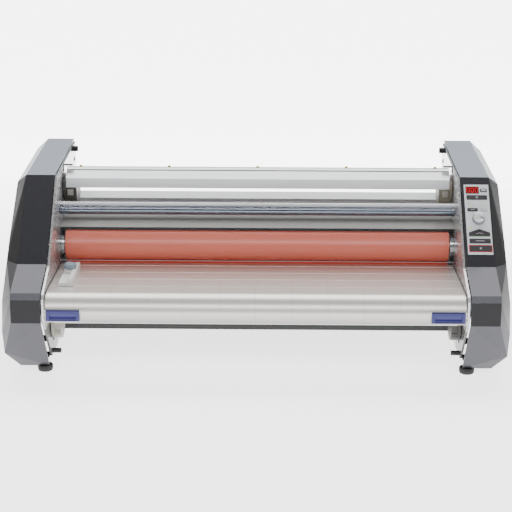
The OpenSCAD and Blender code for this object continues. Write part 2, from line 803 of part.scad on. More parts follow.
left_frame_plate();
right_frame_plate();
left_cover();
right_cover();
left_cap();
right_cap();
base_pan();
rear_cover();
heat_deflector();
tie_bars();
frame_screws();
feet();
roller_bearings();
bearing_washers();
shaft_saddles();
rest_pegs();
panel_fascia();
display_window();
indicator_lamps();
control_board();
drive_motor();
heater_rods();
mains_inlet();
upper_roller_tube();
upper_roller_sleeve();
upper_roller_gear();
lower_roller_tube();
lower_roller_sleeve();
lower_roller_gear();
upper_pull_core();
upper_pull_sleeve();
lower_pull_core();
lower_pull_sleeve();
idler_gear();
motor_gear();
upper_supply_shaft();
upper_supply_hubs();
upper_core_grips();
lower_supply_shaft();
lower_supply_hubs();
upper_idler_bar();
lower_idler_bar();
shield_panel();
shield_rod();
table_plate();
latch_left();
latch_right();
side_guide();
guide_knob();
speed_knob();
heat_button();
ready_button();
mode_button();
set_button();
run_button();
reverse_button();
stop_button();
power_rocker();
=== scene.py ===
import json
import logging
import math
from dataclasses import dataclass, field
from enum import Enum
from typing import Callable, Iterable, Optional, Sequence, Union

import bmesh
import bpy
from mathutils import Matrix, Vector


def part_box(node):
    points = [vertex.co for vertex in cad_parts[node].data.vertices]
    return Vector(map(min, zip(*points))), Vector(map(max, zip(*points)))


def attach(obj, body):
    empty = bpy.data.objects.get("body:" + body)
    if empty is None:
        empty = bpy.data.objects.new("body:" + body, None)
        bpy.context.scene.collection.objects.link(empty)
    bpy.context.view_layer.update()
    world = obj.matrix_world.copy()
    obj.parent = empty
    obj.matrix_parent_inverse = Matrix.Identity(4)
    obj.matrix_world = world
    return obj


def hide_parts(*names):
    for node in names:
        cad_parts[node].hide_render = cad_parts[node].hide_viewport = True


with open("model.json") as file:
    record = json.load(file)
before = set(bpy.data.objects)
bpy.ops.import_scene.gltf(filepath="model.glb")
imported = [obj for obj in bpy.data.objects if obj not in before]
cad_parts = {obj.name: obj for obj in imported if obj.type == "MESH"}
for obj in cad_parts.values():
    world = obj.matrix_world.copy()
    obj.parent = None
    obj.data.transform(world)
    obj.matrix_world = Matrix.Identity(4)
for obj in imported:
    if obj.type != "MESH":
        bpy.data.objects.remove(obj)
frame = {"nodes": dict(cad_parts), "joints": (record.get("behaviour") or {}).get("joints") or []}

LOG = logging.getLogger("laminator")
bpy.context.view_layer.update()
JOINT_AT = {joint["name"]: joint["pos_m"] for joint in frame["joints"] if "pos_m" in joint}
MM = 0.001
MERGE = 2e-6
FLAT = math.radians(0.6)
SHARP = math.radians(40)
Number = Union[float, "Wire"]
Triple = tuple[float, float, float]
Colour = Triple
DataBlock = Union[bpy.types.Material, bpy.types.World]


# ---------------------------------------------------------------- shader maths


class Wire:
    """A node's output socket that takes part in Python arithmetic by adding Math nodes."""

    def __init__(self, board: "Board", socket: bpy.types.NodeSocket) -> None:
        """Holds the socket and the board that it is on.

        Args:
            board: The node board that new nodes go to.
            socket: The output socket.
        """
        self.board = board
        self.socket = socket

    def maths(self, operation: str, *values: Number, clamp: bool = False) -> "Wire":
        """Adds one Math node.

        Args:
            operation: The Math node's operation.
            values: What its sockets hold, in order.
            clamp: Whether the result is kept between 0 and 1.

        Returns:
            The node's result.
        """
        return self.board.add("ShaderNodeMath", {"operation": operation, "use_clamp": clamp}, dict(enumerate(values)))

    def __add__(self, other: Number) -> "Wire":
        """Adds.

        Args:
            other: The other value.

        Returns:
            The result.
        """
        return self.maths("ADD", self, other)

    def __radd__(self, other: Number) -> "Wire":
        """Adds, reflected.

        Args:
            other: The other value.

        Returns:
            The result.
        """
        return self.maths("ADD", other, self)

    def __sub__(self, other: Number) -> "Wire":
        """Subtracts.

        Args:
            other: The other value.

        Returns:
            The result.
        """
        return self.maths("SUBTRACT", self, other)

    def __rsub__(self, other: Number) -> "Wire":
        """Subtracts, reflected.

        Args:
            other: The other value.

        Returns:
            The result.
        """
        return self.maths("SUBTRACT", other, self)

    def __mul__(self, other: Number) -> "Wire":
        """Multiplies.

        Args:
            other: The other value.

        Returns:
            The result.
        """
        return self.maths("MULTIPLY", self, other)

    def __rmul__(self, other: Number) -> "Wire":
        """Multiplies, reflected.

        Args:
            other: The other value.

        Returns:
            The result.
        """
        return self.maths("MULTIPLY", other, self)

    def __lt__(self, other: Number) -> "Wire":
        """Gives 1 where this is less than the other value.

        Args:
            other: The other value.

        Returns:
            0 or 1.
        """
        return self.maths("LESS_THAN", self, other)

    def __gt__(self, other: Number) -> "Wire":
        """Gives 1 where this is greater than the other value.

        Args:
            other: The other value.

        Returns:
            0 or 1.
        """
        return self.maths("GREATER_THAN", self, other)

    def __abs__(self) -> "Wire":
        """Gives the distance from zero.

        Returns:
            The distance.
        """
        return self.maths("ABSOLUTE", self)

    def repeat(self, pitch: float) -> "Wire":
        """Gives the distance to the nearest multiple of a pitch.

        Args:
            pitch: The distance between repeats.

        Returns:
            A value from 0 to half the pitch.
        """
        return self.maths("PINGPONG", self, pitch / 2)

    def clamped(self) -> "Wire":
        """Keeps the value between 0 and 1.

        Returns:
            A value from 0 to 1.
        """
        return self.maths("ADD", self, 0.0, clamp=True)

    def ramp(self, start: float, end: float) -> "Wire":
        """Gives 0 up to where this reaches the start and 1 from where it reaches the end.

        Args:
            start: The value that gives 0.
            end: The value that gives 1, higher or lower than the start.

        Returns:
            A value from 0 to 1.
        """
        return ((self - start) * (1 / (end - start))).clamped()


class Board:
    """The node board of one material or world."""

    def __init__(self, owner: DataBlock) -> None:
        """Clears the owner's nodes.

        Args:
            owner: The new material or world.
        """
        self.owner = owner
        owner.use_nodes = True
        self.tree = owner.node_tree
        self.tree.nodes.clear()

    def add(self, kind: str, settings: Optional[dict] = None, sockets: Optional[dict] = None, out: int = 0) -> Wire:
        """Adds one node: its settings first, then the values or links of its sockets.

        Args:
            kind: The node's type.
            settings: Attributes to set; "stops" holds a colour ramp's stops.
            sockets: Socket names or numbers, with the value or the wire of each.
            out: Which output is returned.

        Returns:
            The chosen output.
        """
        node = self.tree.nodes.new(kind)
        for key, value in (settings or {}).items():
            if key == "stops":
                self._set_stops(node, value)
            else:
                setattr(node, key, value)
        for key, value in (sockets or {}).items():
            socket = node.inputs[key]
            if isinstance(value, Wire):
                self.tree.links.new(value.socket, socket)
            elif isinstance(value, tuple) and len(value) == 3 and socket.type == "RGBA":
                socket.default_value = (*value, 1.0)
            else:
                socket.default_value = value
        return Wire(self, node.outputs[out])

    @staticmethod
    def _set_stops(node: bpy.types.Node, stops: Sequence[tuple[float, float]]) -> None:
        """Sets a colour ramp's grey stops.

        Args:
            node: The colour ramp.
            stops: The place and grey of each stop.
        """
        elements = node.color_ramp.elements
        while len(elements) < len(stops):
            elements.new(0.5)
        for element, (place, grey) in zip(elements, stops):
            element.position = place
            element.color = (grey, grey, grey, 1.0)

    def coords(self) -> Wire:
        """Gives object coordinates, in metres.

        Returns:
            The coordinates, in metres.
        """
        return self.add("ShaderNodeTexCoord", out=3)

    def split(self, vector: Wire) -> tuple[Wire, Wire, Wire]:
        """Splits a vector into its three values.

        Args:
            vector: The vector.

        Returns:
            X, Y and Z.
        """
        node = self.add("ShaderNodeSeparateXYZ", sockets={0: vector}).socket.node
        return tuple(Wire(self, node.outputs[i]) for i in range(3))

    def axes(self) -> tuple[Wire, Wire, Wire]:
        """Gives the three object coordinates as values.

        Returns:
            X, Y and Z.
        """
        return self.split(self.coords())

    def facing(self) -> tuple[Wire, Wire, Wire]:
        """Gives the surface's direction in object space as three values.

        Returns:
            X, Y and Z of the direction.
        """
        return self.split(self.add("ShaderNodeTexCoord", out=1))

    def noise(self, stretch: Triple, detail: float = 2.0) -> Wire:
        """Adds a noise pattern.

        Args:
            stretch: How many features it has per metre along each axis.
            detail: The noise's detail.

        Returns:
            The noise, about 0.5 on average.
        """
        place = self.add("ShaderNodeMapping", sockets={"Vector": self.coords(), "Scale": stretch})
        return self.add("ShaderNodeTexNoise", sockets={"Vector": place, "Scale": 1.0, "Detail": detail})

    def mix(self, factor: Number, first: Union[Colour, Wire], second: Union[Colour, Wire]) -> Wire:
        """Mixes two colours.

        Args:
            factor: 0 gives the first colour and 1 the second.
            first: The first colour.
            second: The second colour.

        Returns:
            The mixed colour.
        """
        return self.add("ShaderNodeMix", {"data_type": "RGBA"}, {0: factor, 6: first, 7: second}, out=2)

    def finish(self, shader: Wire, kind: str = "ShaderNodeOutputMaterial") -> DataBlock:
        """Links the shader to a new output node.

        Args:
            shader: The whole shader.
            kind: The output node's type.

        Returns:
            The material or world.
        """
        node = self.tree.nodes.new(kind)
        self.tree.links.new(shader.socket, node.inputs["Surface"])
        return self.owner


# ---------------------------------------------------------------- finishes


def tone(red: int, green: int, blue: int) -> Colour:
    """Turns a screen colour of 0 to 255 into the linear colour that a shader takes.

    Args:
        red: Red, 0 to 255.
        green: Green, 0 to 255.
        blue: Blue, 0 to 255.

    Returns:
        The linear colour.
    """
    return tuple((c / 255 / 12.92 if c <= 10 else ((c / 255 + 0.055) / 1.055) ** 2.4) for c in (red, green, blue))


def shade(colour: Colour, factor: float) -> Colour:
    """Makes a colour lighter or darker.

    Args:
        colour: The colour.
        factor: What each channel is multiplied by.

    Returns:
        The new colour.
    """
    return tuple(min(1.0, c * factor) for c in colour)


class Grain(Enum):
    """The fine structure of a surface, as features per metre along X, Y and Z."""

    MOULDED = (2600.0, 2600.0, 2600.0)
    PAINTED = (900.0, 900.0, 900.0)
    BRUSHED_ALONG = (25.0, 3200.0, 3200.0)
    SHEET = (160.0, 160.0, 160.0)
    TURNED = (2400.0, 60.0, 60.0)
    SMOOTH = (300.0, 300.0, 300.0)


@dataclass(frozen=True)
class Finish:
    """A plain finish whose colour, roughness and relief vary a little over the surface."""

    name: str
    colour: Colour
    roughness: float
    metallic: float = 0.0
    grain: Grain = Grain.PAINTED
    relief: float = 0.05
    mottle: float = 0.06
    spread: float = 0.10
    coat: float = 0.0

    def base(self, board: Board) -> Wire:
        """Gives the base colour over the surface.

        Args:
            board: The node board that the pattern goes on.

        Returns:
            The colour.
        """
        cloud = board.noise(tuple(g * 0.05 + 4.0 for g in self.grain.value), detail=3.0)
        speck = board.noise(self.grain.value)
        factor = (cloud * 0.7 + speck * 0.3).clamped()
        return board.mix(factor, shade(self.colour, 1 - self.mottle), shade(self.colour, 1 + self.mottle))

    def rough(self, board: Board) -> Wire:
        """Gives the roughness over the surface.

        Args:
            board: The node board that the pattern goes on.

        Returns:
            The roughness.
        """
        return board.noise(self.grain.value, detail=3.0) * self.spread + (self.roughness - self.spread / 2)

    def metal(self, board: Board) -> Number:
        """Gives how metallic the surface is.

        Args:
            board: The node board that the pattern goes on.

        Returns:
            A value from 0 to 1.
        """
        return self.metallic

    def height(self, board: Board) -> Wire:
        """Gives the relief over the surface.

        Args:
            board: The node board that the pattern goes on.

        Returns:
            The height, about 0 to 1.
        """
        return board.noise(self.grain.value, detail=3.0)

    def material(self) -> bpy.types.Material:
        """Builds the material.

        Returns:
            The new material.
        """
        board = Board(bpy.data.materials.new(self.name))
        bump = board.add("ShaderNodeBump", sockets={
            "Strength": self.relief, "Distance": 0.5 * MM, "Height": self.height(board)})
        shader = board.add("ShaderNodeBsdfPrincipled", sockets={
            "Base Color": self.base(board), "Roughness": self.rough(board), "Metallic": self.metal(board),
            "Coat Weight": self.coat, "Coat Roughness": 0.12, "Normal": bump})
        return board.finish(shader)


@dataclass(frozen=True)
class ShellFinish(Finish):
    """Glossy charcoal shell, with painted shade on its upright front and on its upper side slopes."""

    # front and slope set how strongly painted shade darkens the upright front and the high side slopes towards the
    # shadow colour
    front: float = 0.92
    slope: float = 0.9
    slope_heights: tuple[float, float] = (80 * MM, 190 * MM)
    lean: tuple[float, float] = (0.25, 0.5)
    dulling: float = 0.4
    ahead_limit: float = -0.6
    band: float = 6.0
    shadow: float = 0.06

    def upright(self, board: Board) -> Wire:
        """Gives 1 where the shell faces straight forward.

        Args:
            board: The node board that the pattern goes on.

        Returns:
            A value from 0 to 1.
        """
        _, ahead, up = board.facing()
        return (1.0 - abs(up) * self.band).clamped() * (ahead < self.ahead_limit)

    def sideways(self, board: Board) -> Wire:
        """Gives 1 where the shell slopes to the side high up.

        Args:
            board: The node board that the pattern goes on.

        Returns:
            A value from 0 to 1.
        """
        across, _, _ = board.facing()
        _, _, height = board.axes()
        return abs(across).ramp(*self.lean) * height.ramp(*self.slope_heights)

    def base(self, board: Board) -> Wire:
        """Gives the shell's colour, with painted shade on its front and its side slopes.

        Args:
            board: The node board that the pattern goes on.

        Returns:
            The colour.
        """
        # painted shade: the upright front and the high side slopes are darkened
        dark = (self.upright(board) * self.front + self.sideways(board) * self.slope).clamped()
        return board.mix(dark, super().base(board), shade(self.colour, self.shadow))

    def rough(self, board: Board) -> Wire:
        """Gives the roughness, duller on the side slopes.

        Args:
            board: The node board that the pattern goes on.

        Returns:
            The roughness.
        """
        return super().rough(board) + self.sideways(board) * self.dulling

    def metal(self, board: Board) -> Number:
        """Gives how metallic the shell is, less so on the side slopes.

        Args:
            board: The node board that the pattern goes on.

        Returns:
            A value from 0 to 1.
        """
        return self.metallic - self.sideways(board) * self.metallic


@dataclass(frozen=True)
class TableFinish(Finish):
    """Satin aluminium with faint sheet size marks, and painted shade in its grooves and on its front."""

    mark_pitch: float = 63.5 * MM
    mark_width: float = 0.5 * MM
    mark_depth: float = -130 * MM
    groove_floor: float = 165.5 * MM
    top_start: float = -200 * MM
    front_end: float = -236 * MM
    front_heights: tuple[float, float] = (145 * MM, 115 * MM)

    def base(self, board: Board) -> Wire:
        """Gives the aluminium's colour with its marks, and painted shade in its grooves and on its front.

        Args:
            board: The node board that the pattern goes on.

        Returns:
            The colour.
        """
        across, depth, height = board.axes()
        mark = (across.repeat(self.mark_pitch) < self.mark_width) * (depth < self.mark_depth)
        marked = board.mix(mark * 0.28, super().base(board), shade(self.colour, 0.45))
        # painted shade: the grooves are darkened nearly to black
        groove = (height < self.groove_floor) * (depth > self.top_start)
        groove_shaded = board.mix(groove * 0.8, marked, shade(self.colour, 0.08))
        # painted shade: the front face darkens towards its bottom
        front = height.ramp(*self.front_heights) * (depth < self.front_end)
        return board.mix(front * 0.8, groove_shaded, shade(self.colour, 0.22))


@dataclass(frozen=True)
class ShaftFinish(Finish):
    """Pale aluminium with painted shade in a groove along the front slope of a supply shaft."""

    groove: float = 0.0
    groove_width: float = 1.3 * MM
    above: float = 0.0

    def base(self, board: Board) -> Wire:
        """Gives the aluminium's colour, with painted shade in the groove.

        Args:
            board: The node board that the pattern goes on.

        Returns:
            The colour.
        """
        _, depth, height = board.axes()
        groove_shade = (abs(depth - self.groove) < self.groove_width) * (height > self.above)
        # painted shade: the groove is darkened
        return board.mix(groove_shade * 0.85, super().base(board), shade(self.colour, 0.12))


@dataclass(frozen=True)
class TwoToneFinish(Finish):
    """A finish whose right-hand pieces have another colour."""

    right: Colour = (0.3, 0.28, 0.24)

    def base(self, board: Board) -> Wire:
        """Gives the left colour, and the right colour past the middle.

        Args:
            board: The node board that the pattern goes on.

        Returns:
            The colour.
        """
        across, _, _ = board.axes()
        return board.mix(across > 0.0, super().base(board), self.right)


@dataclass(frozen=True)
class HemShadeFinish(Finish):
    """A finish with painted shade along its front edge, standing in for the dark gap under the lip."""

    hem_shade: Colour = (0.006, 0.006, 0.006)
    hem_end: float = -11.5 * MM

    def base(self, board: Board) -> Wire:
        """Gives the finish's colour, with painted shade in front of hem_end.

        Args:
            board: The node board that the pattern goes on.

        Returns:
            The colour.
        """
        _, depth, _ = board.axes()
        # painted shade: the front edge is painted near-black for the dark gap under the lip
        return board.mix(depth < self.hem_end, super().base(board), self.hem_shade)


@dataclass(frozen=True)
class SheetFinish(Finish):
    """Galvanised sheet steel with soft vertical streaks and spangle, and painted shade at its low front."""

    low_end: float = 100 * MM
    front_end: float = -100 * MM

    def base(self, board: Board) -> Wire:
        """Gives the steel's colour with streaks and spangle, and painted shade at its low front.

        Args:
            board: The node board that the pattern goes on.

        Returns:
            The colour.
        """
        _, depth, height = board.axes()
        streak = board.noise((90.0, 90.0, 6.0), detail=3.0)
        spangle = board.add("ShaderNodeTexVoronoi", sockets={"Vector": board.coords(), "Scale": 150.0}, out=1)
        flake = board.add("ShaderNodeSeparateColor", sockets={0: spangle})
        factor = (streak * 0.65 + flake * 0.35).clamped()
        steel = board.mix(factor, shade(self.colour, 0.80), shade(self.colour, 1.08))
        # painted shade: the plate's low front, where its inner face lies in shadow, is darkened
        low_front_shade = (height < self.low_end) * (depth < self.front_end)
        return board.mix(low_front_shade * 0.8, steel, shade(self.colour, 0.1))


@dataclass(frozen=True)
class GlowFinish:
    """A finish that gives off light, as a lamp or a digit does."""

    name: str
    colour: Colour
    strength: float
    roughness: float = 0.3

    def material(self) -> bpy.types.Material:
        """Builds the material.

        Returns:
            The new material.
        """
        board = Board(bpy.data.materials.new(self.name))
        cloud = board.noise((900.0, 900.0, 900.0))
        glow = board.mix(cloud, shade(self.colour, 0.97), self.colour)
        shader = board.add("ShaderNodeBsdfPrincipled", sockets={
            "Base Color": glow, "Roughness": self.roughness,
            "Emission Color": glow, "Emission Strength": self.strength})
        return board.finish(shader)


@dataclass(frozen=True)
class FloorFinish:
    """A pale glowing floor that is brighter behind the machine and fades to grey far in front of it."""

    name: str
    strength: float
    pale_depths: tuple[float, float] = (-2.2, -0.8)
    bright_depths: tuple[float, float] = (0.5, 1.6)
    front_glow: Colour = (0.08, 0.08, 0.08)
    middle_glow: Colour = (0.42, 0.42, 0.42)
    back_glow: Colour = (1.0, 1.0, 1.0)
    front_base: Colour = (0.3, 0.3, 0.3)
    base: Colour = (0.93, 0.93, 0.93)
    roughness: float = 0.9

    def material(self) -> bpy.types.Material:
        """Builds the material.

        Returns:
            The new material.
        """
        board = Board(bpy.data.materials.new(self.name))
        _, depth, _ = board.axes()
        pale = depth.ramp(*self.pale_depths)
        bright = depth.ramp(*self.bright_depths)
        glow = board.mix(bright, board.mix(pale, self.front_glow, self.middle_glow), self.back_glow)
        shader = board.add("ShaderNodeBsdfPrincipled", sockets={
            "Base Color": board.mix(pale, self.front_base, self.base), "Roughness": self.roughness,
            "Emission Color": glow, "Emission Strength": self.strength})
        return board.finish(shader)


@dataclass(frozen=True)
class ClearFinish:
    """Clear plastic sheet: see-through, with reflections that grow towards the edge of sight."""

    name: str
    tint: Colour
    gloss: float
    shine: Colour = (0.95, 0.96, 0.97)
    roughness: float = 0.06
    bend: float = 1.3
    haze: float = 0.004
    haze_grain: Triple = (30.0, 30.0, 30.0)

    def material(self) -> bpy.types.Material:
        """Builds the material.

        Returns:
            The new material.
        """
        board = Board(bpy.data.materials.new(self.name))
        haze = board.noise(self.haze_grain, detail=3.0)
        clear = board.add("ShaderNodeBsdfTransparent", sockets={0: self.tint})
        shine = board.add("ShaderNodeBsdfGlossy", sockets={0: self.shine, "Roughness": self.roughness})
        edge = board.add("ShaderNodeFresnel", sockets={"IOR": self.bend})
        factor = (edge * self.gloss + haze * self.haze).clamped()
        return board.finish(board.add("ShaderNodeMixShader", sockets={0: factor, 1: clear, 2: shine}))


AnyFinish = Union[Finish, GlowFinish, ClearFinish]

# the charcoal shell carries painted shade on its upright front and its high side slopes
CHARCOAL = ShellFinish("charcoal_shell_finish", tone(66, 66, 71), 0.27, metallic=0.6, grain=Grain.MOULDED,
                       relief=0.08, mottle=0.05, coat=0.05)
CAP_SILVER = Finish("silver_cap_finish", tone(166, 174, 184), 0.40, metallic=0.35, grain=Grain.MOULDED, relief=0.05,
                    mottle=0.04, coat=0.1)
FRAME_STEEL = SheetFinish("frame_steel_finish", tone(206, 206, 208), 0.28, metallic=0.7, grain=Grain.SHEET,
                          relief=0.04, spread=0.16)
BLACK_STEEL = Finish("black_steel_finish", tone(16, 15, 14), 0.42, grain=Grain.PAINTED, relief=0.12)
SILVER_SHEET = Finish("silver_sheet_finish", tone(240, 242, 244), 0.42, metallic=0.15, grain=Grain.BRUSHED_ALONG)
# the deflector's front edge carries painted shade for the dark gap under its lip
DEFLECTOR = HemShadeFinish("deflector_finish", tone(212, 211, 207), 0.34, metallic=0.5, grain=Grain.BRUSHED_ALONG,
                      relief=0.08, mottle=0.14)
STEEL = Finish("plain_steel_finish", tone(190, 191, 193), 0.28, metallic=0.95, grain=Grain.BRUSHED_ALONG)
RUBBER = Finish("black_rubber_finish", tone(22, 22, 22), 0.62, grain=Grain.MOULDED, relief=0.2)
BEARING = Finish("bearing_finish", tone(206, 208, 210), 0.2, metallic=1.0, grain=Grain.TURNED)
BRASS = Finish("brass_finish", tone(206, 170, 96), 0.26, metallic=1.0, grain=Grain.TURNED)
NYLON = Finish("black_nylon_finish", tone(26, 26, 28), 0.45, grain=Grain.MOULDED, relief=0.12)
FASCIA = Finish("fascia_finish", tone(214, 218, 220), 0.46, metallic=0.1, grain=Grain.MOULDED, relief=0.06,
                mottle=0.05)
LENS = Finish("display_lens_finish", tone(10, 2, 2), 0.12, grain=Grain.SMOOTH, relief=0.0, coat=0.6)
CIRCUIT = Finish("circuit_board_finish", tone(24, 92, 60), 0.35, grain=Grain.PAINTED)
MOTOR = Finish("motor_finish", tone(56, 58, 62), 0.4, metallic=0.3, grain=Grain.PAINTED)
HEATER = Finish("heater_finish", tone(208, 204, 194), 0.35, metallic=0.7, grain=Grain.BRUSHED_ALONG)
ROLLER_STEEL = Finish("roller_steel_finish", tone(198, 199, 201), 0.22, metallic=1.0, grain=Grain.TURNED)
SILICONE = Finish("salmon_silicone_finish", tone(255, 124, 100), 0.36, grain=Grain.SMOOTH, relief=0.05, mottle=0.04,
                  spread=0.08, coat=0.15)
# painted shade: a darker copy of the salmon silicone for the lower roller
SHADED_SILICONE = Finish("shaded_silicone_finish", tone(196, 86, 70), 0.5, grain=Grain.SMOOTH, relief=0.05, mottle=0.04,
                      spread=0.08)
PULL_RUBBER = Finish("dark_rubber_finish", tone(48, 48, 50), 0.55, grain=Grain.TURNED, relief=0.15)
GEAR = Finish("gear_plastic_finish", tone(212, 206, 190), 0.42, grain=Grain.MOULDED)
GEAR_STEEL = Finish("gear_steel_finish", tone(150, 148, 142), 0.3, metallic=1.0, grain=Grain.TURNED)
UPPER_SHAFT, LOWER_SHAFT = (
    ShaftFinish(f"{name}_shaft_finish", tone(222, 224, 226), 0.34, metallic=0.55, grain=Grain.BRUSHED_ALONG,
                relief=0.04, mottle=0.03, groove=axis[1] - 10 * MM, above=axis[2] + 24 * MM)
    for name, axis in (("upper", JOINT_AT["upper_supply_spin"]), ("lower", JOINT_AT["lower_supply_spin"])))
HUB = TwoToneFinish("hub_finish", tone(70, 68, 62), 0.42, grain=Grain.MOULDED, relief=0.1, right=tone(132, 126, 112))
LOWER_HUB = TwoToneFinish("lower_hub_finish", tone(156, 152, 142), 0.42, grain=Grain.MOULDED, relief=0.1,
                          right=tone(60, 58, 54))
HUB_KEY = Finish("hub_key_finish", tone(176, 172, 164), 0.4, grain=Grain.MOULDED)
CHROME = Finish("polished_bar_finish", tone(112, 119, 131), 0.10, metallic=1.0, grain=Grain.TURNED, relief=0.01,
                mottle=0.03, spread=0.04)
SHIELD = ClearFinish("clear_shield_finish", (0.985, 0.988, 0.99), 0.35)
# painted highlight: the shield's cut edges are painted near-white
SHIELD_EDGE_HIGHLIGHT = Finish("shield_edge_highlight", tone(238, 242, 244), 0.2, grain=Grain.SMOOTH, relief=0.0)
TABLE = TableFinish("table_aluminium_finish", tone(226, 223, 217), 0.36, metallic=0.70, grain=Grain.BRUSHED_ALONG,
                    relief=0.05, mottle=0.04, spread=0.08)
LATCH = Finish("latch_blue_finish", tone(8, 8, 96), 0.34, grain=Grain.SMOOTH, relief=0.02, coat=0.1)
GUIDE = Finish("guide_white_finish", tone(242, 242, 238), 0.34, grain=Grain.SMOOTH, relief=0.02, mottle=0.02)
GUIDE_KNOB = Finish("guide_knob_finish", tone(140, 156, 172), 0.42, grain=Grain.MOULDED)
KNOB = Finish("knob_silver_finish", tone(226, 226, 228), 0.32, metallic=0.35, grain=Grain.TURNED, mottle=0.03)
KNOB_SKIRT = Finish("knob_skirt_finish", tone(120, 124, 130), 0.4, grain=Grain.MOULDED)
KEY = Finish("key_grey_finish", tone(46, 44, 48), 0.5, grain=Grain.MOULDED, relief=0.12)
PALE_KEY = Finish("key_pale_finish", tone(205, 208, 210), 0.45, grain=Grain.MOULDED, relief=0.08)
KEY_MARK = Finish("key_mark_finish", tone(190, 190, 192), 0.5, grain=Grain.SMOOTH)
RED_MARK = Finish("red_mark_finish", tone(190, 34, 40), 0.45, grain=Grain.SMOOTH)
GREEN_MARK = Finish("green_mark_finish", tone(104, 176, 76), 0.45, grain=Grain.SMOOTH)
GREY_PRINT = Finish("grey_print_finish", tone(150, 155, 158), 0.5, grain=Grain.SMOOTH)
DIGIT = GlowFinish("digit_glow", tone(240, 0, 22), 1.1)
LAMP_GREEN = GlowFinish("lamp_green_glow", tone(60, 200, 50), 0.6)
LAMP_LIME = GlowFinish("lamp_lime_glow", tone(150, 215, 30), 0.6)
LAMP_OFF = Finish("lamp_off_finish", tone(240, 242, 242), 0.3, grain=Grain.SMOOTH)


# ---------------------------------------------------------------- making pieces


def material_of(finish: AnyFinish) -> bpy.types.Material:
    """Gives a finish's material, which is built once.

    Args:
        finish: The finish.

    Returns:
        Its material.
    """
    return bpy.data.materials.get(finish.name) or finish.material()


def piece_from(bm: bmesh.types.BMesh, name: str, body: str, finishes: Sequence[AnyFinish],
               soft_angle: float = 40.0, outwards: bool = True) -> bpy.types.Object:
    """Turns a bmesh into a piece of the object.

    Args:
        bm: The shape, in metres, where it belongs. It is freed.
        name: The piece's name.
        body: The CAD body that it rides on.
        finishes: The finishes of the piece, by material index.
        soft_angle: Edges that turn less than this many degrees shade smoothly.
        outwards: Whether face directions are worked out again.

    Returns:
        The piece.
    """
    if outwards:
        bmesh.ops.recalc_face_normals(bm, faces=bm.faces)
    limit = math.radians(soft_angle)
    for face in bm.faces:
        face.smooth = True
    for edge in bm.edges:
        edge.smooth = len(edge.link_faces) == 2 and edge.calc_face_angle(math.pi) < limit
    mesh = bpy.data.meshes.new(name)
    bm.to_mesh(mesh)
    bm.free()
    piece = bpy.data.objects.new(name, mesh)
    bpy.context.scene.collection.objects.link(piece)
    for finish in finishes:
        mesh.materials.append(material_of(finish))
    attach(piece, body)
    LOG.info("made %s: %d faces on %s", name, len(mesh.polygons), body)
    return piece


def even_normals(piece: bpy.types.Object) -> None:
    """Keeps wide faces flat beside narrow rounded edges.

    Args:
        piece: The piece.
    """
    normals = piece.modifiers.new("even_normals", "WEIGHTED_NORMAL")
    normals.keep_sharp = True
    normals.weight = 60


def rounded(bm: bmesh.types.BMesh, edges: Iterable[bmesh.types.BMEdge], width: float, segments: int = 3) -> None:
    """Rounds edges.

    Args:
        bm: The shape.
        edges: The edges to round.
        width: The rounding's width in metres.
        segments: How many strips the rounding has.
    """
    bmesh.ops.bevel(bm, geom=list(edges), offset=width, offset_type="OFFSET", affect="EDGES", segments=segments,
                    profile=0.5, material=-1, clamp_overlap=False)


def block(bm: bmesh.types.BMesh, low: Vector, high: Vector) -> list[bmesh.types.BMVert]:
    """Adds a box.

    Args:
        bm: Where it goes.
        low: Its lowest corner.
        high: Its highest corner.

    Returns:
        Its corners.
    """
    middle = (Vector(low) + Vector(high)) / 2
    size = Vector(high) - Vector(low)
    place = Matrix.Translation(middle) @ Matrix.Diagonal((*size, 1.0))
    return bmesh.ops.create_cube(bm, size=1.0, matrix=place)["verts"]


def paint(verts: Iterable[bmesh.types.BMVert], index: int) -> None:
    """Gives the faces of some corners another finish of their piece.

    Args:
        verts: The corners.
        index: Which of the piece's finishes.
    """
    for face in {f for v in verts for f in v.link_faces}:
        face.material_index = index


def join(bm: bmesh.types.BMesh, part: bmesh.types.BMesh, place: Sequence[float]) -> None:
    """Moves one shape and adds it to another.

    Args:
        bm: The shape that grows.
        part: The shape to add. It is freed.
        place: How far it is moved.
    """
    bmesh.ops.translate(part, vec=place, verts=part.verts)
    mesh = bpy.data.meshes.new("part")
    part.to_mesh(mesh)
    part.free()
    bm.from_mesh(mesh)
    bpy.data.meshes.remove(mesh)


def turned(outline: Sequence[tuple[float, float]], steps: int = 48) -> bmesh.types.BMesh:
    """Spins an outline of (radius, height) about Z.

    Args:
        outline: Points from the axis round to the axis again.
        steps: How many steps a full turn has.

    Returns:
        The closed shape.
    """
    bm = bmesh.new()
    points = [bm.verts.new((radius, 0.0, height)) for radius, height in outline]
    edges = [bm.edges.new(pair) for pair in zip(points, points[1:])]
    bmesh.ops.spin(bm, geom=[*points, *edges], cent=(0, 0, 0), axis=(0, 0, 1), angle=math.tau, steps=steps,
                   use_merge=True, use_duplicate=False)
    bmesh.ops.remove_doubles(bm, verts=bm.verts, dist=1e-6)
    return bm


def copy_of(node: str) -> bmesh.types.BMesh:
    """Copies a CAD node's mesh, with its triangles merged into whole faces.

    Args:
        node: The CAD node.

    Returns:
        The copy, which the caller frees.
    """
    bm = bmesh.new()
    bm.from_mesh(frame["nodes"][node].data)
    bmesh.ops.remove_doubles(bm, verts=bm.verts, dist=MERGE)
    bmesh.ops.dissolve_limit(bm, angle_limit=FLAT, use_dissolve_boundaries=False,
                             verts=bm.verts, edges=bm.edges)
    return bm


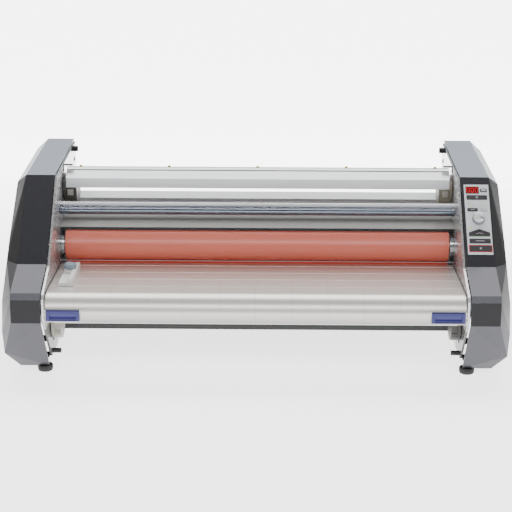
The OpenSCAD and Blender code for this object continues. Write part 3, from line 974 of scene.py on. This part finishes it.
def dress(node: str, finish: Finish, width: float = 0.0) -> None:
    """Gives a CAD node its finish and, with a width, rounded edges.

    Args:
        node: The CAD node.
        finish: Its finish.
        width: The width of its rounded edges in metres, or 0 to leave them sharp.
    """
    piece = frame["nodes"][node]
    piece.data.materials.clear()
    piece.data.materials.append(material_of(finish))
    if width:
        weld = piece.modifiers.new("weld", "WELD")
        weld.merge_threshold = MERGE
        plane = piece.modifiers.new("whole_faces", "DECIMATE")
        plane.decimate_type = "DISSOLVE"
        plane.angle_limit = FLAT
        edge = piece.modifiers.new("edge", "BEVEL")
        edge.width = width
        edge.segments = 2
        edge.limit_method = "ANGLE"
        edge.angle_limit = SHARP
        edge.use_clamp_overlap = True
        even_normals(piece)
    LOG.info("dressed %s in %s", node, finish.name)


# ---------------------------------------------------------------- sub-assemblies


@dataclass
class SideCover:
    """A moulded side cover with its silver cap."""

    side: str
    soft: float = 1.6 * MM

    def build(self) -> None:
        """Dresses both shells of this side."""
        dress(f"{self.side}_cover", CHARCOAL, self.soft)
        dress(f"{self.side}_cap", CAP_SILVER, self.soft)


@dataclass
class FeedTable:
    """The aluminium feed table: flat grooved top, rounded nose, folded lip and the latches' lugs."""

    lug_reach: Triple = (1 * MM, 1.1 * MM, 2.1 * MM)
    sheet: float = 3.0 * MM
    nose: float = 30.0 * MM
    groove_width: float = 1.6 * MM
    groove_depth: float = 0.7 * MM
    grooves: tuple[float, ...] = (73 * MM, 119 * MM, 163 * MM, 209 * MM)
    nose_depth: float = 6.0 * MM
    lip: float = 24.0 * MM
    latch_gap: float = 0.35 * MM

    def lugs(self, front: float) -> None:
        """Makes the latches' lugs from the CAD table.

        Args:
            front: Where the table's front face is.
        """
        low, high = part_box("latch_left")
        pin = JOINT_AT["left_latch_hinge"]
        side, back, up = self.lug_reach
        bm = copy_of("table_plate")
        others = [f for f in bm.faces if not all(
            low.x - side < -abs(v.co.x) < high.x + side and v.co.y < front + back
            and abs(v.co.z - pin[2]) < up for v in f.verts)]
        bmesh.ops.delete(bm, geom=others, context="FACES")
        piece_from(bm, "latch_lugs", "feed_table", [TABLE], 30.0, outwards=False)

    def build(self) -> None:
        """Makes the table from its section, drawn along X."""
        low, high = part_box("table_plate")
        low.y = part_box("latch_left")[1].y + self.latch_gap
        start = low.y - self.nose_depth
        bm = bmesh.new()
        section = [(low.y + self.lip, low.z), (low.y, low.z), (low.y, high.z - self.nose)]
        verts = [bm.verts.new((low.x, y, z)) for y, z in section]
        for pair in zip(verts, verts[1:]):
            bm.edges.new(pair)
        arc = bmesh.ops.spin(bm, geom=[verts[-1]], cent=(low.x, low.y + self.nose, high.z - self.nose),
                             axis=(1, 0, 0), angle=-math.pi / 2, steps=40, use_merge=False, use_duplicate=False)
        last = [v for v in arc["geom_last"] if isinstance(v, bmesh.types.BMVert)][0]
        for y, z in self._top(start, high):
            point = bm.verts.new((low.x, y, z))
            bm.edges.new((last, point))
            last = point
        across = Vector((high.x - low.x, 0, 0))
        strip = bmesh.ops.extrude_edge_only(bm, edges=bm.edges[:])["geom"]
        bmesh.ops.translate(bm, vec=across, verts=[g for g in strip if isinstance(g, bmesh.types.BMVert)])
        bmesh.ops.recalc_face_normals(bm, faces=bm.faces)
        if sum(f.normal.z * f.calc_area() for f in bm.faces) < 0:
            bmesh.ops.reverse_faces(bm, faces=bm.faces)
        piece = piece_from(bm, "table_sheet", "feed_table", [TABLE], 30.0, outwards=False)
        wall = piece.modifiers.new("sheet", "SOLIDIFY")
        wall.thickness = self.sheet
        wall.offset = -1.0
        wall.use_even_offset = True
        edge = piece.modifiers.new("edge", "BEVEL")
        edge.width = 0.3 * MM
        edge.segments = 2
        edge.angle_limit = SHARP
        even_normals(piece)
        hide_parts("table_plate")
        self.lugs(low.y)

    def _top(self, start: float, high: Vector) -> list[tuple[float, float]]:
        """Gives the points of the flat top and its grooves, from the nose on.

        Args:
            start: Where the grooves are measured from.
            high: The table's highest corner.

        Returns:
            Each point's depth and height.
        """
        points = []
        half = self.groove_width / 2
        for depth in self.grooves:
            middle = start + depth
            points += [(middle - half, high.z), (middle - half, high.z - self.groove_depth),
                       (middle + half, high.z - self.groove_depth), (middle + half, high.z)]
        return points + [(high.y, high.z)]


class PanelPlane:
    """The plane of the control panel, from the fascia's own box."""

    knob_place: tuple[float, float] = (22.6, 73.7)

    def __init__(self) -> None:
        """Finds the panel's top left corner and its slope."""
        joint = next(j for j in frame["joints"] if j["name"] == "speed_knob_turn")
        self.normal = Vector(joint["axis"]).normalized()
        self.down = Vector((0, -self.normal.z, self.normal.y))
        knob = Vector(joint["pos_m"])
        self.corner = knob - self.down * (self.knob_place[1] * MM)
        self.corner.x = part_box("panel_fascia")[0].x

    def at(self, x: float, s: float, n: float) -> Vector:
        """Gives the place x mm right of and s mm below the panel's top left corner, n mm out of it.

        Args:
            x: How far right of the left edge, in mm.
            s: How far below the top edge, in mm.
            n: How far out of the panel, in mm.

        Returns:
            The place, in metres.
        """
        return self.corner + Vector((x, 0, 0)) * MM + self.down * (s * MM) + self.normal * (n * MM)

    def frame_at(self, x: float, s: float, n: float) -> Matrix:
        """Gives the matrix that puts a shape drawn in X and Y, facing Z, on the panel.

        Args:
            x: How far right of the left edge, in mm.
            s: How far below the top edge, in mm.
            n: How far out of the panel, in mm.

        Returns:
            The matrix, in metres.
        """
        turn = Matrix((Vector((1, 0, 0)), -self.down, self.normal)).transposed().to_4x4()
        return Matrix.Translation(self.at(x, s, n)) @ turn


@dataclass
class ControlPanel:
    """The panel's printed marks, digits and lamps."""

    plane: PanelPlane = field(default_factory=PanelPlane)
    key_top: float = 1.9
    print_top: float = 1.0
    lens_top: float = 1.8
    digit_places: tuple[float, ...] = (7.4, 15.0, 22.6)
    digit_middle: float = 12.1
    digit_size: tuple[float, float] = (4.4, 9.6)
    stroke: float = 0.8
    lamp_radius: float = 1.35
    lamp_flatness: float = 0.55
    lamp_places: tuple[tuple[float, float, int], ...] = ((33.7, 38, 0), (22, 38, 1), (9.3, 45.4, 2), (7.4, 90.4, 2))
    word_places: tuple[tuple[float, float, float], ...] = (
        (8.5, 38, 6.0), (8.5, 41.8, 4.0), (28, 45.4, 5.0), (37.5, 45.4, 5.0), (15.5, 45.4, 6.0))
    dial_radius: float = 14.2
    dial_marks: int = 11
    dial_start: float = 225.0
    dial_step: float = 27.0
    knob_outline: tuple[tuple[float, float], ...] = (
        (0.0, 1.4), (11.0, 1.4), (11.35, 1.8), (11.2, 5.4), (10.8, 6.2), (9.5, 6.5), (9.3, 7.0),
        (9.1, 13.4), (8.6, 14.1), (7.9, 14.35), (0.0, 14.5))
    skirt_top: float = 6.6
    notch_size: Triple = (6.4, 1.5, 0.9)
    notch_place: Triple = (6.4, 0.0, 14.35)
    notch_turn: float = -38.0

    def slab(self, bm: bmesh.types.BMesh, x: float, s: float, width: float, height: float, n: float,
             turn: float = 0.0, thick: float = 0.12) -> None:
        """Adds a thin bar on the panel.

        Args:
            bm: Where it goes.
            x: Its middle, in mm from the left edge.
            s: Its middle, in mm from the top.
            width: Its width in mm.
            height: Its height in mm.
            n: The height of its underside over the cover, in mm.
            turn: Its turn in degrees.
            thick: Its thickness in mm.
        """
        size = Matrix.Diagonal((width * MM, height * MM, thick * MM, 1.0))
        place = self.plane.frame_at(x, s, n + thick / 2) @ Matrix.Rotation(math.radians(turn), 4, "Z") @ size
        bmesh.ops.create_cube(bm, size=1.0, matrix=place)

    def ring(self, bm: bmesh.types.BMesh, x: float, s: float, width: float, height: float, n: float,
             line: float) -> None:
        """Adds a printed rectangle outline.

        Args:
            bm: Where it goes.
            x: How far right of the left edge, in mm.
            s: How far below the top edge, in mm.
            width: The outline's width in mm.
            height: The outline's height in mm.
            n: How far out of the panel, in mm.
            line: The line's width in mm.
        """
        for side in (-1, 1):
            self.slab(bm, x + side * (width - line) / 2, s, line, height, n)
            self.slab(bm, x, s + side * (height - line) / 2, width - 2 * line, line, n)

    def digits(self) -> None:
        """Makes three seven-segment noughts on the display."""
        bm = bmesh.new()
        width, height = self.digit_size
        line, middle = self.stroke, self.digit_middle
        for x in self.digit_places:
            for side in (-1, 1):
                for half in (-1, 1):
                    self.slab(bm, x + side * width / 2, middle + half * 2.35, line, 3.8, self.lens_top)
                self.slab(bm, x, middle + side * height / 2, width - line, line, self.lens_top)
        piece_from(bm, "display_digits", "chassis", [DIGIT])

    def icons(self) -> None:
        """Makes one plain mark on each key, with a cross on the stop key and a chevron on the run key."""
        top = self.key_top
        marks: dict[str, Callable[[bmesh.types.BMesh], None]] = {
            "heat_button": lambda bm: self.slab(bm, 35.5, 12.2, 8.6, 3.6, top),
            "ready_button": lambda bm: self.ring(bm, 22.6, 27.3, 3.4, 3.4, top, 0.7),
            "mode_button": lambda bm: self.slab(bm, 13.3, 53.3, 8.0, 0.6, top),
            "set_button": lambda bm: self.ring(bm, 33.6, 53.2, 9.6, 3.6, top, 0.4),
            "reverse_button": lambda bm: self.slab(bm, 23.0, 118.5, 16.0, 0.9, top),
        }
        for key, draw in marks.items():
            bm = bmesh.new()
            draw(bm)
            finish = GREY_PRINT if key == "set_button" else KEY_MARK
            piece_from(bm, f"{key}_mark", f"{key}_key", [finish])
        bm = bmesh.new()
        for turn in (-45, 45):
            self.slab(bm, 23.2, 133.8, 5.0, 0.9, top, turn)
        piece_from(bm, "stop_cross", "stop_button_key", [KEY_MARK])
        bm = bmesh.new()
        for side in (-1, 1):
            self.slab(bm, 22.8 + side * 3.0, 103.0, 7.0, 0.7, top, side * -18)
        piece_from(bm, "run_chevron", "run_button_key", [KEY_MARK])

    def borders(self) -> None:
        """Makes the printed frame round the stop key, the line under the run key and the small print lines."""
        bm = bmesh.new()
        self.ring(bm, 23.2, 133.75, 42.2, 14.6, self.print_top, 1.4)
        piece_from(bm, "stop_border", "chassis", [RED_MARK])
        bm = bmesh.new()
        self.slab(bm, 22.8, 109.2, 38.6, 1.0, self.print_top)
        piece_from(bm, "run_underline", "chassis", [GREEN_MARK])
        bm = bmesh.new()
        for x, s, width in self.word_places:
            self.slab(bm, x, s, width, 0.8, self.print_top)
        middle_x, middle_s = self.plane.knob_place
        for k in range(self.dial_marks):
            angle = math.radians(self.dial_start - self.dial_step * k)
            x, s = middle_x + self.dial_radius * math.cos(angle), middle_s - self.dial_radius * math.sin(angle)
            self.slab(bm, x, s, 1.4, 0.5, self.print_top, math.degrees(angle))
        piece_from(bm, "fascia_marks", "chassis", [GREY_PRINT])

    def lamps(self) -> None:
        """Makes the four lamps as low domes."""
        bm = bmesh.new()
        for x, s, index in self.lamp_places:
            place = self.plane.frame_at(x, s, self.print_top) @ Matrix.Diagonal((1.0, 1.0, self.lamp_flatness, 1.0))
            made = bmesh.ops.create_uvsphere(bm, u_segments=20, v_segments=12, radius=self.lamp_radius * MM,
                                             matrix=place)
            paint(made["verts"], index)
        piece = piece_from(bm, "lamp_domes", "chassis", [LAMP_GREEN, LAMP_OFF, LAMP_LIME], 80.0)
        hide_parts("indicator_lamps")

    def knob(self) -> None:
        """Makes the speed knob: a dark skirt, a silver cap and a pointer notch."""
        bm = turned([(r * MM, z * MM) for r, z in self.knob_outline], 72)
        for face in bm.faces:
            face.material_index = 0 if face.calc_center_median().z > self.skirt_top * MM else 1
        notch = (Matrix.Rotation(math.radians(self.notch_turn), 4, "Z")
                 @ Matrix.Translation(Vector(self.notch_place) * MM)
                 @ Matrix.Diagonal((*(size * MM for size in self.notch_size), 1.0)))
        paint(bmesh.ops.create_cube(bm, size=1.0, matrix=notch)["verts"], 2)
        bmesh.ops.transform(bm, matrix=self.plane.frame_at(*self.plane.knob_place, 0.0), verts=bm.verts)
        piece = piece_from(bm, "speed_knob_cap", "speed_control", [KNOB, KNOB_SKIRT, KEY], 35.0)
        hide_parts("speed_knob")

    def build(self) -> None:
        """Makes everything on the panel."""
        dress("panel_fascia", FASCIA, 0.15 * MM)
        dress("display_window", LENS, 0.2 * MM)
        for key in ("heat_button", "ready_button", "mode_button", "run_button", "reverse_button", "stop_button"):
            dress(key, KEY, 0.5 * MM)
        dress("set_button", PALE_KEY, 0.5 * MM)
        self.digits()
        self.icons()
        self.borders()
        self.lamps()
        self.knob()


@dataclass
class SupplyDetail:
    """Details of the film supply shafts: domed grip pins and the light keys in the hubs."""

    key_low: Triple = (350.3 * MM, 27.1 * MM, -17.2 * MM)
    key_high: Triple = (361.7 * MM, 28.3 * MM, -5.3 * MM)
    pin_count: int = 5
    pin_outline: tuple[tuple[float, float], ...] = ((0, 0), (1, 0), (1, 1.4), (0.8, 2.6), (0.4, 3.4), (0, 3.6))

    def grip_pins(self) -> None:
        """Makes the brass pins with domed heads."""
        low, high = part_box("upper_core_grips")
        radius = (high.y - low.y) / 2
        bm = bmesh.new()
        for k in range(self.pin_count):
            x = low.x + radius + k * (high.x - low.x - 2 * radius) / (self.pin_count - 1)
            pin = turned([(radius * share, height * MM) for share, height in self.pin_outline], 24)
            join(bm, pin, (x, (low.y + high.y) / 2, low.z))
        piece = piece_from(bm, "core_grip_pins", "upper_supply", [BRASS], 50.0)
        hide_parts("upper_core_grips")

    def hub_keys(self) -> None:
        """Makes the light keys in the slots of the upper hubs."""
        axis = Vector(JOINT_AT["upper_supply_spin"])
        axis.x = 0.0
        bm = bmesh.new()
        for side in (-1, 1):
            for front in (-1, 1):
                ends = [Vector((side * x, front * y, z)) for x, y, z in (self.key_low, self.key_high)]
                corners = [Vector(pair) for pair in zip(*(sorted(c) for c in zip(*ends)))]
                verts = block(bm, axis + corners[0], axis + corners[1])
                rounded(bm, {e for v in verts for e in v.link_edges}, 0.3 * MM, 2)
        piece_from(bm, "hub_keys", "upper_supply", [HUB_KEY])

    def build(self) -> None:
        """Makes the details."""
        self.grip_pins()
        self.hub_keys()


@dataclass
class GuideKnob:
    """The knurled clamp knob of the side guide."""

    flutes: int = 24
    flute_depth: float = 0.045
    height: float = 9 * MM
    outline: tuple[tuple[float, float], ...] = (
        (0, 0), (0.94, 0), (1, 0.7), (1, 7.6), (0.93, 8.6), (0.80, 9.0), (0.72, 8.4), (0, 8.2))

    def build(self) -> None:
        """Makes the knob as a turned body whose rim is fluted."""
        low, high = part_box("guide_knob")
        centre = (low + high) / 2
        radius = (high.x - low.x) / 2
        bm = turned([(radius * share, z * MM) for share, z in self.outline], self.flutes * 6)
        for vert in bm.verts:
            flat = Vector((vert.co.x, vert.co.y))
            if flat.length > radius * 0.9 and 0.3 * MM < vert.co.z < 8.7 * MM:
                wave = math.cos(math.atan2(flat.y, flat.x) * self.flutes)
                reach = 1 - self.flute_depth * (0.5 + 0.5 * wave)
                vert.co.x *= reach
                vert.co.y *= reach
        bmesh.ops.translate(bm, vec=(centre.x, centre.y, high.z - self.height), verts=bm.verts)
        piece = piece_from(bm, "guide_knob_cap", "guide_lock", [GUIDE_KNOB], 50.0)
        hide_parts("guide_knob")


@dataclass
class Foot:
    """The four rubber feet, turned with a rounded sole."""

    radius: float = 14 * MM
    outline: tuple[tuple[float, float], ...] = (
        (0, 0), (11.0, 0), (12.6, 0.8), (13.7, 3), (14, 5), (14, 10.5), (13.2, 12), (6, 12), (6, 29), (0, 29))

    def build(self) -> None:
        """Makes the feet."""
        low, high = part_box("feet")
        bm = bmesh.new()
        for x in (low.x + self.radius, high.x - self.radius):
            for y in (low.y + self.radius, high.y - self.radius):
                join(bm, turned([(r * MM, z * MM) for r, z in self.outline], 40), (x, y, low.z))
        piece = piece_from(bm, "rubber_feet", "chassis", [RUBBER], 35.0)
        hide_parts("feet")


@dataclass
class Shield:
    """The clear heat shield, smoothly curved, with a painted highlight on its cut edges."""

    def build(self) -> None:
        """Makes the shield from the CAD sheet."""
        low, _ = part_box("shield_panel")
        bm = copy_of("shield_panel")
        # painted highlight: the end faces and the bottom edge get the near-white edge finish
        for face in bm.faces:
            at_end = abs(face.normal.x) > 0.9
            at_bottom = max(v.co.z for v in face.verts) < low.z + 3 * MM
            face.material_index = 1 if at_end or at_bottom else 0
        piece = piece_from(bm, "shield_sheet", "shield", [SHIELD, SHIELD_EDGE_HIGHLIGHT], 35.0, outwards=False)
        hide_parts("shield_panel")


def dress_plain_nodes() -> None:
    """Gives every CAD node that stays its finish."""
    plain: dict[Finish, dict[str, float]] = {
        FRAME_STEEL: {"left_frame_plate": 0.3, "right_frame_plate": 0.3},
        BLACK_STEEL: {"base_pan": 0.4},
        SILVER_SHEET: {"rear_cover": 0.6},
        DEFLECTOR: {"heat_deflector": 0.4},
        STEEL: {"tie_bars": 0.4, "frame_screws": 0.3, "shield_rod": 0.3},
        RUBBER: {"rest_pegs": 0.8},
        BEARING: {"roller_bearings": 0.6},
        BRASS: {"bearing_washers": 0.2},
        NYLON: {"shaft_saddles": 0.4, "mains_inlet": 0.6, "power_rocker": 0.5},
        CIRCUIT: {"control_board": 0.0},
        MOTOR: {"drive_motor": 0.8},
        HEATER: {"heater_rods": 0.3},
        ROLLER_STEEL: {"upper_roller_tube": 0.6, "lower_roller_tube": 0.6, "upper_pull_core": 0.0,
                       "lower_pull_core": 0.0},
        SILICONE: {"upper_roller_sleeve": 0.8},
        SHADED_SILICONE: {"lower_roller_sleeve": 0.8},
        PULL_RUBBER: {"upper_pull_sleeve": 0.8, "lower_pull_sleeve": 0.8},
        GEAR: {"upper_roller_gear": 0.0, "lower_roller_gear": 0.0, "idler_gear": 0.0},
        GEAR_STEEL: {"motor_gear": 0.0},
        UPPER_SHAFT: {"upper_supply_shaft": 0.4},
        LOWER_SHAFT: {"lower_supply_shaft": 0.4},
        HUB: {"upper_supply_hubs": 0.8},
        LOWER_HUB: {"lower_supply_hubs": 0.8},
        CHROME: {"upper_idler_bar": 0.5, "lower_idler_bar": 0.5},
        GUIDE: {"side_guide": 0.7},
        LATCH: {"latch_left": 0.6, "latch_right": 0.6},
    }
    for finish, nodes in plain.items():
        for node, width in nodes.items():
            dress(node, finish, width * MM)


# ---------------------------------------------------------------- studio


@dataclass
class Studio:
    """Camera, lights, backdrop and floor."""

    camera_place: Triple = (0.02898, -2.65588, 0.90841)
    pitch: float = 15.4585
    yaw: float = 0.6688
    roll: float = 0.1796
    lens: float = 1450 / 512 * 36
    sky_low: float = 0.09
    sky_back: float = 0.25
    sky_up: float = 0.16
    floor_glow: float = 6.0

    def camera(self) -> None:
        """Puts the camera at eye height in front of the machine."""
        data = bpy.data.cameras.new("camera")
        data.sensor_width = 36.0
        data.lens = self.lens
        data.clip_end = 50.0
        eye = bpy.data.objects.new("camera", data)
        bpy.context.scene.collection.objects.link(eye)
        turn = (Matrix.Rotation(math.radians(self.yaw), 4, "Z")
                @ Matrix.Rotation(math.radians(90 - self.pitch), 4, "X")
                @ Matrix.Rotation(math.radians(self.roll), 4, "Z"))
        eye.matrix_world = Matrix.Translation(self.camera_place) @ turn
        bpy.context.scene.camera = eye

    def lamp(self, name: str, place: Sequence[float], aim: Sequence[float], size: tuple[float, float],
             power: float) -> None:
        """Adds a soft area lamp.

        Args:
            name: The lamp's name.
            place: Where it hangs.
            aim: The point it looks at.
            size: Its width and height in metres.
            power: Its power in watts.
        """
        data = bpy.data.lights.new(name, "AREA")
        data.shape = "RECTANGLE"
        data.size, data.size_y = size
        data.energy = power
        lamp = bpy.data.objects.new(name, data)
        lamp.location = place
        lamp.rotation_euler = (Vector(aim) - Vector(place)).to_track_quat("-Z", "Y").to_euler()
        bpy.context.scene.collection.objects.link(lamp)

    def floor(self) -> None:
        """Lays a pale floor that reaches far behind the machine."""
        bm = bmesh.new()
        bmesh.ops.create_grid(bm, x_segments=2, y_segments=2, size=14.0)
        mesh = bpy.data.meshes.new("floor")
        bm.to_mesh(mesh)
        bm.free()
        floor = bpy.data.objects.new("floor", mesh)
        mesh.materials.append(FloorFinish("floor_finish", self.floor_glow).material())
        bpy.context.scene.collection.objects.link(floor)

    def world(self) -> None:
        """Surrounds the scene with grey that brightens behind and above the machine."""
        world = bpy.data.worlds.new("studio_world")
        board = Board(world)
        _, back, up = board.split(board.add("ShaderNodeTexCoord"))
        glow = (back * 0.5 + 0.5).clamped() * self.sky_back + abs(up) * self.sky_up + self.sky_low
        shader = board.add("ShaderNodeBackground", sockets={"Color": (1.0, 1.0, 1.0), "Strength": glow})
        board.finish(shader, "ShaderNodeOutputWorld")
        bpy.context.scene.world = world

    def build(self) -> None:
        """Sets the scene."""
        self.camera()
        self.floor()
        self.world()
        self.lamp("top_light", (0.0, 0.75, 1.9), (0.0, 0.1, 0.2), (3.2, 1.5), 66.0)
        self.lamp("front_light", (0.0, -2.4, 1.75), (0.0, 0.0, 0.2), (2.6, 0.5), 32.0)


def main() -> None:
    """Builds the scene in order."""
    logging.basicConfig(level=logging.INFO, format="%(name)s: %(message)s")
    Studio().build()
    dress_plain_nodes()
    for side in ("left", "right"):
        SideCover(side).build()
    FeedTable().build()
    Shield().build()
    ControlPanel().build()
    SupplyDetail().build()
    GuideKnob().build()
    Foot().build()


if __name__ == "__main__":
    main()
